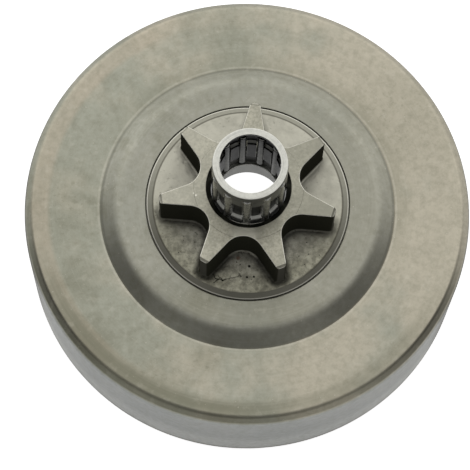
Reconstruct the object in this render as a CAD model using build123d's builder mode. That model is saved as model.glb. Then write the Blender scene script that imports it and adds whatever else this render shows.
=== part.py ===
from build123d import *
import os
from math import asin, atan2, cos, radians, sin, tan

# Clutch drum of a chainsaw: a steel cup with a spur sprocket let into its crown,
# and the needle bearing that runs in the sprocket's bore.
# Millimetres. The open rim lies on z = 0, the axis is Z and the sprocket points up.

# Needle bearing
roller_count = 11
roller_d = 1.7
roller_length = 13.8
roller_pitch_d = 13.2
first_roller_deg = 270.0
roller_running_clearance = 0.02
pocket_clearance = 0.06
pocket_end_clearance = 0.1
cage_sheet_thickness = 0.6
cage_rim = 2.0
cage_shaft_clearance = 0.15
cage_bore_clearance = 0.25
cage_outer_band = 5.0
cage_step = 0.6
cage_proud = 13.7

# Spur sprocket
tooth_count = 7
first_tooth_deg = 90.0
hub_wall = 2.75
tooth_depth = 7.55
tooth_height = 9.1
tooth_half_angle = 12.5
tip_width = 1.95
tip_corner_radius = 0.7
tip_bevel = 0.6
tooth_foot_break = 0.4
hub_ring_wall = 3.3
hub_ring_rise = 0.15
bore_mouth_run = 0.98
bore_mouth_depth = 0.45
floor_margin = 0.85
flange_rise = 0.6
flange_bevel_run = 1.45
boss_wall = 5.55
boss_drop = 0.65

# Drum bell
drum_od = 90.0
drum_depth = 22.6
sheet_thickness = 3.0
outer_edge_bevel = 1.45
edge_band_width = 4.3
edge_band_drop = 0.2
inner_corner_break = 1.2
plateau_flat = 5.8
plateau_rise = 2.25
shoulder_run = 3.5
shoulder_radius = 6.5

# Bearing radii, from the rollers outwards and inwards
roller_r = roller_d / 2
pitch_r = roller_pitch_d / 2
bore_r = pitch_r + roller_r + roller_running_clearance
cage_in_r = pitch_r - roller_r + cage_shaft_clearance
cage_out_r = bore_r - cage_bore_clearance

# Sprocket radii, from the bore outwards
root_r = bore_r + hub_wall
tip_r = root_r + tooth_depth
hub_ring_r = bore_r + hub_ring_wall
boss_r = bore_r + boss_wall
floor_r = tip_r + tooth_foot_break + floor_margin
flange_r = floor_r + flange_bevel_run

# Bell radii, from the flange outwards
drum_r = drum_od / 2
wall_in_r = drum_r - sheet_thickness
shoulder_r = flange_r + plateau_flat
crease_r = shoulder_r + shoulder_run

# Heights
web_under_z = drum_depth - sheet_thickness
plateau_z = drum_depth + plateau_rise
plateau_under_z = plateau_z - sheet_thickness
boss_under_z = plateau_under_z - boss_drop
floor_z = plateau_z + flange_rise
tooth_top_z = floor_z + tooth_height
tooth_end_z = tooth_top_z - hub_ring_rise
pocket_length = roller_length + 2 * pocket_end_clearance
cage_length = pocket_length + 2 * cage_rim
cage_top_z = tooth_top_z + cage_proud
cage_base_z = cage_top_z - cage_length
bearing_mid_z = cage_base_z + cage_length / 2

# Shift of the underside's bends, so that the sloped ring keeps the sheet's thickness
slope_angle = atan2(plateau_rise, shoulder_run)
bend_shift = sheet_thickness * tan(slope_angle / 2)


def corner(section, r, z):
    """The vertex of a half section that lies nearest to radius r and height z."""
    return section.vertices().sort_by_distance((r, z, 0))[0]


def axis_distance(edge):
    """How far the middle of an edge lies from the drum's axis."""
    middle = edge @ 0.5
    return Vector(middle.X, middle.Y).length


def on_outline(edge):
    """Whether an edge belongs to the star's outline, and not to the bore or the flange."""
    return (bore_r + root_r) / 2 < axis_distance(edge) < (tip_r + floor_r) / 2


# Drum bell: one revolved half section, open at the rim
with BuildPart() as drum_bell:
    with BuildSketch(Plane.XZ) as bell_section:
        with BuildLine():
            Polyline(
                (wall_in_r, 0),
                (drum_r, 0),
                (drum_r, drum_depth - edge_band_drop),
                (drum_r - edge_band_width, drum_depth),
                (crease_r, drum_depth),
                (shoulder_r, plateau_z),
                (flange_r, plateau_z),
                (flange_r, plateau_under_z),
                (shoulder_r - bend_shift, plateau_under_z),
                (crease_r - bend_shift, web_under_z),
                (wall_in_r, web_under_z),
                close=True,
            )
        make_face()
        chamfer(corner(bell_section, drum_r, drum_depth - edge_band_drop), outer_edge_bevel)
        fillet(corner(bell_section, shoulder_r, plateau_z), shoulder_radius)
        chamfer(corner(bell_section, wall_in_r, web_under_z), inner_corner_break)
    revolve(axis=Axis.Z)
drum_bell.part.label = "drum_bell"

# One gap between two teeth, on its own centre line: a round bottom that runs into straight flanks
half_pitch = radians(180 / tooth_count)
tip_half_angle = asin(tip_width / 2 / tip_r)
flank_angle = half_pitch + radians(tooth_half_angle)
tip_corner_x = tip_r * cos(half_pitch - tip_half_angle)
tip_corner_y = tip_r * sin(half_pitch - tip_half_angle)
flanks_meet_x = tip_corner_x - tip_corner_y / tan(flank_angle)
gap_centre_x = (root_r - flanks_meet_x * sin(flank_angle)) / (1 - sin(flank_angle))
gap_radius = gap_centre_x - root_r
flank_start_x = gap_centre_x - gap_radius * sin(flank_angle)
flank_start_y = gap_radius * cos(flank_angle)
gap_mouth_x = flange_r
gap_mouth_y = (gap_mouth_x - flanks_meet_x) * tan(flank_angle)

with BuildSketch() as tooth_gap:
    with BuildLine():
        ThreePointArc((flank_start_x, -flank_start_y), (root_r, 0), (flank_start_x, flank_start_y))
        Polyline(
            (flank_start_x, flank_start_y),
            (gap_mouth_x, gap_mouth_y),
            (gap_mouth_x, -gap_mouth_y),
            (flank_start_x, -flank_start_y),
        )
    make_face()

# Spur sprocket: turned flange and boss, with the star of teeth standing on the flange
with BuildPart() as spur_sprocket:
    with BuildSketch(Plane.XZ):
        with BuildLine():
            Polyline(
                (bore_r, boss_under_z),
                (boss_r, boss_under_z),
                (boss_r, plateau_under_z),
                (flange_r, plateau_under_z),
                (flange_r, plateau_z),
                (floor_r, floor_z),
                (bore_r, floor_z),
                close=True,
            )
        make_face()
    revolve(axis=Axis.Z)
    with BuildSketch(Plane.XY.offset(floor_z)) as star:
        Circle(tip_r)
        with PolarLocations(0, tooth_count, start_angle=first_tooth_deg + 180 / tooth_count):
            add(tooth_gap.sketch, mode=Mode.SUBTRACT)
        tip_corners = star.vertices().filter_by(lambda v: Vector(v.X, v.Y).length > tip_r - tip_corner_radius)
        fillet(tip_corners, tip_corner_radius)
        Circle(bore_r, mode=Mode.SUBTRACT)
    extrude(amount=tooth_height)
    foot_edges = spur_sprocket.edges().filter_by_position(Axis.Z, floor_z, floor_z).filter_by(on_outline)
    chamfer(foot_edges, tooth_foot_break)
    # The hub's end is turned, and stands a little over the ends of the teeth
    with BuildSketch(Plane.XY.offset(tooth_top_z)):
        Circle(floor_r)
        Circle(hub_ring_r, mode=Mode.SUBTRACT)
    extrude(amount=-hub_ring_rise, mode=Mode.SUBTRACT)
    # Turned cuts: the bevel of the tooth tips, and the mouth of the bore at both ends
    with BuildSketch(Plane.XZ):
        with BuildLine():
            Polyline(
                (tip_r - tip_bevel, tooth_end_z),
                (tip_r + tip_bevel, tooth_end_z),
                (tip_r + tip_bevel, tooth_end_z - 2 * tip_bevel),
                close=True,
            )
        make_face()
        with BuildLine():
            Polyline(
                (bore_r, tooth_top_z - bore_mouth_depth),
                (bore_r + bore_mouth_run, tooth_top_z),
                (bore_r, tooth_top_z),
                close=True,
            )
        make_face()
        with BuildLine():
            Polyline(
                (bore_r, boss_under_z),
                (bore_r + bore_mouth_depth, boss_under_z),
                (bore_r, boss_under_z + bore_mouth_depth),
                close=True,
            )
        make_face()
    revolve(axis=Axis.Z, mode=Mode.SUBTRACT)
spur_sprocket.part.label = "spur_sprocket"

# Bearing cage: sheet bent to an M, so the bars hold the rollers outside at the ends and inside at the middle
cage_band_r = cage_out_r - cage_sheet_thickness
cage_waist_r = cage_in_r + cage_sheet_thickness
cage_bend_shift = cage_sheet_thickness * tan(atan2(cage_waist_r - cage_in_r, cage_step) / 2)
upper_step_z = cage_top_z - cage_outer_band
lower_step_z = cage_base_z + cage_outer_band
with BuildPart() as bearing_cage:
    with BuildSketch(Plane.XZ):
        with BuildLine():
            Polyline(
                (cage_in_r, cage_base_z),
                (cage_out_r, cage_base_z),
                (cage_out_r, lower_step_z),
                (cage_waist_r, lower_step_z + cage_step),
                (cage_waist_r, upper_step_z - cage_step),
                (cage_out_r, upper_step_z),
                (cage_out_r, cage_top_z),
                (cage_in_r, cage_top_z),
                (cage_in_r, cage_top_z - cage_sheet_thickness),
                (cage_band_r, cage_top_z - cage_sheet_thickness),
                (cage_band_r, upper_step_z + cage_bend_shift),
                (cage_in_r, upper_step_z - cage_step + cage_bend_shift),
                (cage_in_r, lower_step_z + cage_step - cage_bend_shift),
                (cage_band_r, lower_step_z - cage_bend_shift),
                (cage_band_r, cage_base_z + cage_sheet_thickness),
                (cage_in_r, cage_base_z + cage_sheet_thickness),
                close=True,
            )
        make_face()
    revolve(axis=Axis.Z)
    with Locations((0, 0, bearing_mid_z)):
        with PolarLocations(pitch_r, roller_count, start_angle=first_roller_deg):
            Cylinder(roller_r + pocket_clearance, pocket_length, mode=Mode.SUBTRACT)
bearing_cage.part.label = "bearing_cage"

# Export of the three turned pieces, then of the rollers, each on its own axis in its pocket
os.makedirs("parts", exist_ok=True)
export_step(drum_bell.part, "parts/drum_bell.step")
export_step(spur_sprocket.part, "parts/spur_sprocket.step")
export_step(bearing_cage.part, "parts/bearing_cage.step")

for number in range(1, roller_count + 1):
    roller_angle = radians(first_roller_deg + (number - 1) * 360 / roller_count)
    roller_axis = Plane((pitch_r * cos(roller_angle), pitch_r * sin(roller_angle), bearing_mid_z))
    with BuildPart(roller_axis) as needle_roller:
        Cylinder(roller_r, roller_length)
    needle_roller.part.label = f"needle_roller_{number:02d}"
    export_step(needle_roller.part, f"parts/needle_roller_{number:02d}.step")
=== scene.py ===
import logging
import math
from dataclasses import dataclass, field
from enum import Enum
from functools import reduce
from typing import Sequence

import bmesh
import bpy
from mathutils import Matrix, Vector, kdtree, noise


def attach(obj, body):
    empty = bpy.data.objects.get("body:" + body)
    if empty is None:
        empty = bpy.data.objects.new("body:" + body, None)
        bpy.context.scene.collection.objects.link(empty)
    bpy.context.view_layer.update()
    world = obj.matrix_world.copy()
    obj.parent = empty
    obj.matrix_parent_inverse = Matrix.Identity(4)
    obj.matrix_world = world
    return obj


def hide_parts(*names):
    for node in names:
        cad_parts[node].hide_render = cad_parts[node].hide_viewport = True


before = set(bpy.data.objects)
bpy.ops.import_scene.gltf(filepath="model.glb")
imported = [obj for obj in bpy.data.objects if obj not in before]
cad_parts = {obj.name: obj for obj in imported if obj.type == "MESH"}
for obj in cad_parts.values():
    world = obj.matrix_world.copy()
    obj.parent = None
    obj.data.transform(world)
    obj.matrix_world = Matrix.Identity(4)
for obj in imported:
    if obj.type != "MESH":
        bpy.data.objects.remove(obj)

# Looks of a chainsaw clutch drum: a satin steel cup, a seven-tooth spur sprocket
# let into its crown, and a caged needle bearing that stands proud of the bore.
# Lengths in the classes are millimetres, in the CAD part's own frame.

MM = 0.001
IMAGE_PX = 470
SENSOR_MM = 36.0
WALL_GAP = "wall_gap"
Point = tuple[float, float]
Colour = tuple[float, float, float, float]
Socket = bpy.types.NodeSocket
Piece = bpy.types.Object
Material = bpy.types.Material
log = logging.getLogger("clutch_drum")


class Body(str, Enum):
    """The CAD bodies that pieces ride on."""

    DRUM = "drum"
    CAGE = "cage"


class Slot(str, Enum):
    """The record's material slots."""

    DRUM = "drum_steel"
    SPROCKET = "sprocket_steel"
    CAGE = "cage_steel"
    ROLLER = "roller_steel"


def srgb(*levels: int) -> Colour:
    """Turns a display colour into the linear colour that shaders use.

    Args:
        levels: Red, green and blue from 0 to 255.

    Returns:
        The linear colour, opaque.
    """
    shares = [level / 255 for level in levels]
    red, green, blue = (s / 12.92 if s <= 0.04045 else ((s + 0.055) / 1.055) ** 2.4 for s in shares)
    return red, green, blue, 1.0


# Shapes


@dataclass(frozen=True)
class Corner:
    """One corner of a section: where it is, and how it is rounded."""

    x: float
    y: float
    radius: float = 0.0
    steps: int = 6


def rounded_path(corners: Sequence[Corner], closed: bool, support: float = 0.0) -> list[Point]:
    """Rounds the corners of a path of straight runs.

    Args:
        corners: The corners in order.
        closed: Whether the last corner joins the first.
        support: Distance of an extra point from each end of a long run, which keeps its shading flat.

    Returns:
        The points of the path.
    """
    count = len(corners)
    arcs: list[list[Vector]] = []
    for index, corner in enumerate(corners):
        here = Vector((corner.x, corner.y))
        ends = not closed and index in (0, count - 1)
        if corner.radius <= 0 or ends:
            arcs.append([here])
            continue
        before = corners[index - 1]
        after = corners[(index + 1) % count]
        back = (Vector((before.x, before.y)) - here).normalized()
        ahead = (Vector((after.x, after.y)) - here).normalized()
        half = back.angle(ahead) / 2
        reach = corner.radius / math.tan(half)
        centre = here + (back + ahead).normalized() * (corner.radius / math.sin(half))
        start, end = here + back * reach - centre, here + ahead * reach - centre
        turn = start.angle(end)
        side = 1.0 if start.x * end.y - start.y * end.x > 0 else -1.0
        arc = []
        for step in range(corner.steps + 1):
            spin = Matrix.Rotation(side * turn * step / corner.steps, 2)
            arc.append(centre + spin @ start)
        arcs.append(arc)
    points: list[Point] = []
    runs = count if closed else count - 1
    for index, arc in enumerate(arcs):
        points.extend((p.x, p.y) for p in arc)
        if index >= runs or support <= 0:
            continue
        start, end = arc[-1], arcs[(index + 1) % count][0]
        length = (end - start).length
        if length > 4 * support:
            way = (end - start) / length
            for spot in (start + way * support, end - way * support):
                points.append((spot.x, spot.y))
    return points


@dataclass
class RingLoft:
    """A closed skin made of rings that all have the same number of points."""

    name: str
    rings: list[list[Vector]] = field(default_factory=list)

    def add(self, ring: Sequence[Vector]) -> None:
        """Adds the next ring, in millimetres and anticlockwise seen from above."""
        self.rings.append(list(ring))

    def build(self, closed: bool, sharp_deg: float) -> Piece:
        """Joins the rings into a mesh.

        Args:
            closed: Whether the last ring joins the first; otherwise both ends get a cap.
            sharp_deg: Edges that bend more than this stay sharp.

        Returns:
            The new object, linked to the scene.
        """
        width = len(self.rings[0])
        points = [p * MM for ring in self.rings for p in ring]
        faces: list[list[int]] = []
        count = len(self.rings)
        for row in range(count if closed else count - 1):
            low, high = row * width, (row + 1) % count * width
            for column in range(width):
                beside = (column + 1) % width
                faces.append([low + column, low + beside, high + beside, high + column])
        if not closed:
            faces.append(list(range(width)))
            faces.append(list(range((count - 1) * width, count * width)))
        return new_piece(self.name, points, faces, sharp_deg)


def new_piece(
    name: str, points: Sequence[Vector], faces: Sequence[Sequence[int]], sharp_deg: float
) -> Piece:
    """Makes a smooth-shaded mesh object whose normals point outwards.

    Args:
        name: Name of the object.
        points: Vertices in metres.
        faces: Vertex numbers of each face.
        sharp_deg: Edges that bend more than this stay sharp.

    Returns:
        The new object, linked to the scene.
    """
    mesh = bpy.data.meshes.new(name)
    mesh.from_pydata([tuple(p) for p in points], [], [list(f) for f in faces])
    shell = bmesh.new()
    shell.from_mesh(mesh)
    bmesh.ops.remove_doubles(shell, verts=shell.verts, dist=1e-7)
    loose = [v for v in shell.verts if not v.link_faces]
    bmesh.ops.delete(shell, geom=loose, context="VERTS")
    bmesh.ops.recalc_face_normals(shell, faces=shell.faces)
    shell.to_mesh(mesh)
    shell.free()
    mesh.polygons.foreach_set("use_smooth", [True] * len(mesh.polygons))
    mesh.set_sharp_from_angle(angle=math.radians(sharp_deg))
    piece = bpy.data.objects.new(name, mesh)
    bpy.context.scene.collection.objects.link(piece)
    return piece


def freeze(piece: Piece, sharp_deg: float) -> None:
    """Turns a piece and its modifiers into a plain smooth-shaded mesh.

    Args:
        piece: The piece.
        sharp_deg: Edges that bend more than this stay sharp.
    """
    solved = piece.evaluated_get(bpy.context.evaluated_depsgraph_get())
    mesh = bpy.data.meshes.new_from_object(solved)
    piece.modifiers.clear()
    piece.data = mesh
    shell = bmesh.new()
    shell.from_mesh(mesh)
    bmesh.ops.recalc_face_normals(shell, faces=shell.faces)
    shell.to_mesh(mesh)
    shell.free()
    mesh.polygons.foreach_set("use_smooth", [True] * len(mesh.polygons))
    mesh.set_sharp_from_angle(angle=math.radians(sharp_deg))


def circle(radius: float, height: float, angles: Sequence[float]) -> list[Vector]:
    """The points of a level circle about the drum's axis, in millimetres."""
    return [Vector((radius * math.cos(a), radius * math.sin(a), height)) for a in angles]


def even_angles(count: int) -> list[float]:
    """Angles in radians, spread evenly over a turn."""
    return [2 * math.pi * k / count for k in range(count)]


# Materials


@dataclass
class ShaderKit:
    """Writes the nodes of one material, world or scatter tree."""

    tree: bpy.types.NodeTree

    def node(self, kind: str, settings: dict | None = None, **inputs: object) -> bpy.types.Node:
        """Adds a node.

        Args:
            kind: The node's type name.
            settings: Properties to set on it.
            inputs: Values or sockets by input name, with _ for a blank.

        Returns:
            The new node.
        """
        made = self.tree.nodes.new(kind)
        for key, value in (settings or {}).items():
            setattr(made, key, value)
        self.set(made, **inputs)
        return made

    def set(self, made: bpy.types.Node, **inputs: object) -> None:
        """Gives a node's inputs, named with _ for a blank, their values or sockets."""
        for key, value in inputs.items():
            self.feed(made.inputs[key.replace("_", " ")], value)

    def feed(self, socket: Socket, value: object) -> None:
        """Links a socket into an input, or sets the input's value.

        Args:
            socket: The input.
            value: A socket or a plain value.
        """
        if isinstance(value, Socket):
            self.tree.links.new(value, socket)
        else:
            socket.default_value = value

    def math(self, operation: str, first: object, second: object = 0.0) -> Socket:
        """Adds a math node.

        Args:
            operation: Blender's name of the operation.
            first: First value or socket.
            second: Second value or socket.

        Returns:
            The result's socket.
        """
        made = self.node("ShaderNodeMath", {"operation": operation})
        self.feed(made.inputs[0], first)
        self.feed(made.inputs[1], second)
        return made.outputs[0]

    def times(self, *values: object) -> Socket:
        """Multiplies values or sockets."""
        return reduce(lambda first, second: self.math("MULTIPLY", first, second), values)

    def rest(self, share: object) -> Socket:
        """What a share leaves of 1."""
        return self.math("SUBTRACT", 1.0, share)

    def sway(self, base: object, texture: Socket, reach: float) -> Socket:
        """A value that noise moves up and down."""
        return self.math("ADD", base, self.times(self.math("SUBTRACT", texture, 0.5), reach))

    def step(
        self, value: object, low: float, high: float, out_low: float = 0.0, out_high: float = 1.0
    ) -> Socket:
        """Eases a value from one range to another, and holds it at the ends.

        Args:
            value: The value or socket.
            low: Start of the input range.
            high: End of the input range.
            out_low: Result at the start.
            out_high: Result at the end.

        Returns:
            The result's socket.
        """
        made = self.node("ShaderNodeMapRange", {"interpolation_type": "SMOOTHSTEP"})
        names = ("Value", "From Min", "From Max", "To Min", "To Max")
        for name, item in zip(names, (value, low, high, out_low, out_high)):
            self.feed(made.inputs[name], item)
        return made.outputs[0]

    def mix(self, share: object, first: object, second: object) -> Socket:
        """Mixes two colours.

        Args:
            share: Share of the second.
            first: First colour or socket.
            second: Second colour or socket.

        Returns:
            The mixed colour's socket.
        """
        made = self.node("ShaderNodeMix", {"data_type": "RGBA"})
        self.feed(made.inputs[0], share)
        self.feed(made.inputs[6], first)
        self.feed(made.inputs[7], second)
        return made.outputs[2]

    def layers(self, colour: object, *coats: tuple[object, object]) -> Socket:
        """Lays coats of colour over each other.

        Args:
            colour: The ground colour or socket.
            coats: Each coat's mask and colour, in order.

        Returns:
            The last colour's socket.
        """
        for share, coat in coats:
            colour = self.mix(share, colour, coat)
        return colour

    def noise(self, place: Socket, size_mm: float, detail: float = 3.0, rough: float = 0.55) -> Socket:
        """Adds a noise texture.

        Args:
            place: Coordinates in metres.
            size_mm: Rough size of its spots.
            detail: Octaves.
            rough: Strength of the finer octaves.

        Returns:
            The noise value's socket.
        """
        scale = 1 / (size_mm * MM)
        made = self.node("ShaderNodeTexNoise", Vector=place, Scale=scale, Detail=detail, Roughness=rough)
        return made.outputs[0]


class SteelCoordinates:
    """Where a point of a turned part lies: its place, radius, height, angle and facing."""

    def __init__(self, kit: ShaderKit) -> None:
        """Adds the nodes that work out the place of a point.

        Args:
            kit: The material's node writer.
        """
        self.kit = kit
        self.place = kit.node("ShaderNodeTexCoord").outputs["Object"]
        split = kit.node("ShaderNodeSeparateXYZ", Vector=self.place)
        self.x, self.y, self.z = split.outputs
        self.flat = kit.node("ShaderNodeCombineXYZ", X=self.x, Y=self.y).outputs[0]
        length = kit.node("ShaderNodeVectorMath", {"operation": "LENGTH"}, Vector=self.flat)
        self.radius = length.outputs["Value"]
        self.angle = kit.math("ARCTAN2", self.y, self.x)
        self.facing = kit.node("ShaderNodeNewGeometry").outputs["Normal"]
        self.up = kit.node("ShaderNodeSeparateXYZ", Vector=self.facing).outputs["Z"]

    def span(self, value: Socket, low_mm: float, high_mm: float, *ends: float) -> Socket:
        """Eases a length from one value to another over a span in millimetres."""
        return self.kit.step(value, low_mm * MM, high_mm * MM, *ends)

    def ring(self, radius_mm: float, inner_mm: float, outer_mm: float, strength: float = 1.0) -> Socket:
        """A thin mask about a radius, full within one half width and gone past the other."""
        gap = self.kit.math("ABSOLUTE", self.kit.math("SUBTRACT", self.radius, radius_mm * MM))
        return self.span(gap, inner_mm, outer_mm, strength, 0.0)

    def vector(self, operation: str, first: object, second: object, result: str = "Vector") -> Socket:
        """Adds a vector math node.

        Args:
            operation: Blender's name of the operation.
            first: First vector or socket.
            second: Second vector or socket.
            result: Name of the wanted output.

        Returns:
            The result's socket.
        """
        made = self.kit.node("ShaderNodeVectorMath", {"operation": operation})
        self.kit.feed(made.inputs[0], first)
        self.kit.feed(made.inputs[1], second)
        return made.outputs[result]

    def outward(self) -> Socket:
        """How far a surface faces away from the axis, from -1, towards it, to 1."""
        along = self.vector("DOT_PRODUCT", self.facing, self.flat, "Value")
        return self.kit.math("DIVIDE", along, self.radius)

    def ragged(self, size_mm: float, reach_mm: float) -> Socket:
        """The flat place, pushed about by noise, for lines that shouldn't run straight.

        Args:
            size_mm: Rough size of the bends.
            reach_mm: How far they push.

        Returns:
            The pushed place's socket.
        """
        texture = self.kit.node("ShaderNodeTexNoise", Vector=self.place, Scale=1 / (size_mm * MM), Detail=3.0)
        push = self.vector("SUBTRACT", texture.outputs["Color"], (0.5, 0.5, 0.5))
        push = self.vector("MULTIPLY", push, (reach_mm * MM, reach_mm * MM, 0.0))
        return self.vector("ADD", self.flat, push)

    def line(self, place: Socket, crack: "Crack") -> Socket:
        """A thin mask along a crack.

        Args:
            place: Flat place, straight or ragged.
            crack: The crack.

        Returns:
            The mask's socket, 1 on the line.
        """
        start = Vector((*crack.start, 0.0)) * MM
        way = Vector((*crack.end, 0.0)) * MM - start
        off = self.vector("SUBTRACT", place, tuple(start))
        share = self.vector("DOT_PRODUCT", off, tuple(way / way.length_squared), "Value")
        share = self.kit.math("MINIMUM", self.kit.math("MAXIMUM", share, 0.0), 1.0)
        foot = self.kit.node("ShaderNodeVectorMath", {"operation": "SCALE"}, Scale=share)
        foot.inputs[0].default_value = tuple(way)
        gap = self.vector("DISTANCE", off, foot.outputs[0], "Value")
        return self.span(gap, 0.4 * crack.width, crack.width, 1.0, 0.0)

    def turned(self, pitch_mm: float, arcs: float) -> Socket:
        """Fine marks that run round the axis, as a lathe leaves them.

        Args:
            pitch_mm: Distance between marks.
            arcs: How often a mark changes along a radian.

        Returns:
            The marks' noise socket.
        """
        across = self.kit.times(self.radius, 1 / (pitch_mm * MM))
        along = self.kit.times(self.angle, arcs)
        spot = self.kit.node("ShaderNodeCombineXYZ", X=across, Y=along, Z=0.0)
        marks = self.kit.node("ShaderNodeTexNoise", Vector=spot.outputs[0], Scale=1.0)
        self.kit.set(marks, Detail=2.0, Roughness=0.5)
        return marks.outputs[0]

    def spot(self, x_mm: float, y_mm: float, inner_mm: float, outer_mm: float) -> Socket:
        """A round mask about an upright line, 1 within the inner radius and 0 past the outer."""
        gap = self.vector("DISTANCE", self.flat, (x_mm * MM, y_mm * MM, 0.0), "Value")
        return self.span(gap, inner_mm, outer_mm, 1.0, 0.0)


def new_material(name: str) -> tuple[Material, ShaderKit, bpy.types.Node]:
    """Starts a material with a metal shader on its output.

    Args:
        name: Name of the material.

    Returns:
        The material, its node writer and its shader.
    """
    material = bpy.data.materials.new(name)
    material.use_nodes = True
    material.node_tree.nodes.clear()
    kit = ShaderKit(material.node_tree)
    shader = kit.node("ShaderNodeBsdfPrincipled", Metallic=1.0)
    output = kit.node("ShaderNodeOutputMaterial")
    kit.feed(output.inputs["Surface"], shader.outputs[0])
    return material, kit, shader


@dataclass(frozen=True)
class Stain:
    """A soft patch of other colour at a place on the drum."""

    x: float
    y: float
    radius: float
    strength: float = 1.0


@dataclass(frozen=True)
class Crack:
    """One straight stretch of a crack in the dirt."""

    start: Point
    end: Point
    width: float = 0.17


@dataclass(frozen=True)
class DrumFinish:
    """Satin steel of the cup: warm grey with soft greenish, dark and tan patches, and painted shade and
    highlights on its crown, flat ring and wall.
    """

    warm: Colour = srgb(184, 178, 161)
    green: Colour = srgb(163, 164, 150)
    # Dark serves the stains and patches, and the painted shade of the halo and the near edge
    dark: Colour = srgb(128, 127, 110)
    tan: Colour = srgb(184, 172, 153)
    crown: Colour = srgb(157, 157, 146)
    # Painted shade: the crown's colour where it is flat and on its near or right side
    crown_shade_painted: Colour = srgb(143, 143, 131)
    wall: Colour = srgb(168, 171, 171)
    # Painted reflection of the floor on the wall's lower part
    foot: Colour = srgb(196, 198, 197)
    # Speck serves the pale specks and dots, and the painted highlight outside the crease
    speck: Colour = srgb(214, 210, 196)
    # Painted shade for the wall's bottom line, the crease and the bevel's upper edge
    bevel: Colour = srgb(92, 91, 82)
    # Painted shade over the wall everywhere but its near front
    side_shade_painted: Colour = srgb(52, 51, 46)
    bevel_radius: float = 43.3
    roughness: float = 0.36
    crown_radius: float = 29.77
    band: tuple[float, float, float, float] = (39.4, 40.7, 43.0, 44.2)
    stains: tuple[Stain, ...] = (
        Stain(-30.0, -32.0, 9.5, 0.70),
        Stain(-38.0, -4.0, 14.0, 0.40),
        Stain(-32.5, -18.5, 7.0, 0.50),
        Stain(-8.0, 37.0, 11.0, 0.30),
        Stain(-15.0, -37.0, 10.0, 0.40),
        Stain(-5.8, -32.2, 4.5, 0.55),
        Stain(-7.8, -21.0, 4.5, 0.60),
        Stain(30.0, 22.0, 18.0, 0.30),
        Stain(16.0, -36.0, 14.0, 0.10),
    )

    def build(self) -> Material:
        """Writes the material.

        Returns:
            The material.
        """
        material, kit, shader = new_material("drum_steel_satin")
        at = SteelCoordinates(kit)
        clouds = kit.noise(at.place, 17, 4, 0.55)
        grain = kit.noise(at.place, 1.1, 4, 0.65)
        blots = kit.noise(at.place, 4.5, 4, 0.6)
        mottle = kit.noise(at.place, 1.9, 3, 0.6)
        specks = kit.noise(at.place, 0.55, 1, 0.4)
        marks = at.turned(0.35, 1.4)
        sided = kit.math("SUBTRACT", clouds, kit.times(at.x, 3.2))
        # The raised crown, painted darker on its near and right side as shade, and a halo of painted shade
        # round its far side and right
        crown = at.span(at.radius, self.crown_radius - 0.4, self.crown_radius, 0.85, 0.0)
        shaded = kit.math("MAXIMUM", at.span(at.y, -15.5, -20.5), at.span(at.x, 6.0, 20.0, 0.0, 0.45))
        shaded = kit.times(shaded, kit.step(at.up, 0.97, 0.995))
        halo_shade = kit.times(at.span(at.x, 4.0, 20.0), at.span(at.y, -14.0, 0.0))
        halo_shade = kit.math("MAXIMUM", halo_shade, at.span(at.y, 10.0, 26.0))
        halo_shade = kit.times(halo_shade, at.span(at.radius, 29.8, 34.5, 0.32, 0.0), kit.rest(crown))
        # The flat ring: patches on the left, a tan band, and painted shade along its near edge
        patchy = kit.times(kit.step(blots, 0.46, 0.74), at.span(at.x, 12.0, -20.0, 0.12, 0.45))
        low_in, high_in, low_out, high_out = self.band
        band = kit.times(at.span(at.radius, low_in, high_in), at.span(at.radius, low_out, high_out, 1.0, 0.0))
        edge = kit.times(at.span(at.radius, 39.5, 41.8), at.span(at.radius, 42.2, 43.5, 1.0, 0.65))
        edge = kit.times(edge, at.span(at.y, -10.0, -26.0, 0.0, 0.85), at.span(at.x, 16.0, -4.0, 0.5, 1.0))
        # The wall: a painted reflection of the floor lightens it towards its foot, a painted contact shadow
        # darkens its bottom, and painted shade darkens its sides and back; then the lines of crease and edge
        wall = kit.layers(
            kit.mix(at.span(at.z, 11.0, 5.0), self.wall, self.foot),
            (at.span(at.z, 0.8, 1.8, 0.8, 0.0), self.bevel),
            (at.span(at.y, -23.5, -16.5, 0.0, 0.85), self.side_shade_painted),
        )
        # Painted shade: a dark line at the foot of the crown's slope, on its far side and flanks
        crease = kit.times(at.ring(self.crown_radius - 0.35, 0.05, 0.5, 0.4), at.span(at.y, -18.0, -4.0))
        # Painted shade along the bevel's upper edge, strongest on the near flanks
        rim = kit.times(
            at.span(at.radius, self.bevel_radius - 0.1, self.bevel_radius + 0.15),
            kit.step(at.up, 0.55, 0.72),
            at.span(at.y, -4.0, -20.0, 0.05, 0.7),
            at.span(at.y, -40.0, -22.0),
        )
        colour = kit.layers(
            kit.mix(kit.step(sided, 0.38, 0.66), self.warm, self.green),
            (crown, kit.mix(shaded, self.crown, self.crown_shade_painted)),
            (halo_shade, self.dark),
            *self.stained(kit, at, clouds),
            (patchy, self.dark),
            (kit.times(band, at.span(at.x, -8.0, -30.0, 0.0, 0.5)), self.tan),
            (edge, self.dark),
            (kit.step(at.up, 0.30, 0.70, 0.85, 0.0), wall),
            (crease, self.bevel),
            # Painted highlight: a pale line just outside the crease, all round
            (at.ring(self.crown_radius + 0.25, 0.05, 0.3, 0.22), self.speck),
            (rim, self.bevel),
            (kit.step(grain, 0.36, 0.72, 0.0, 0.30), self.dark),
            (kit.step(mottle, 0.52, 0.72, 0.0, 0.12), self.dark),
            (kit.step(mottle, 0.46, 0.28, 0.0, 0.12), self.speck),
            (kit.step(specks, 0.72, 0.80, 0.0, 0.3), self.speck),
            (kit.step(marks, 0.45, 0.75, 0.0, 0.06), self.speck),
        )
        rough = kit.sway(kit.sway(self.roughness, clouds, 0.22), grain, 0.12)
        height = kit.math("ADD", kit.times(marks, 0.3), grain)
        bump = kit.node("ShaderNodeBump", Strength=0.12, Distance=0.0001, Height=height)
        kit.set(shader, Base_Color=colour, Roughness=rough, Normal=bump.outputs[0])
        return material

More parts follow.
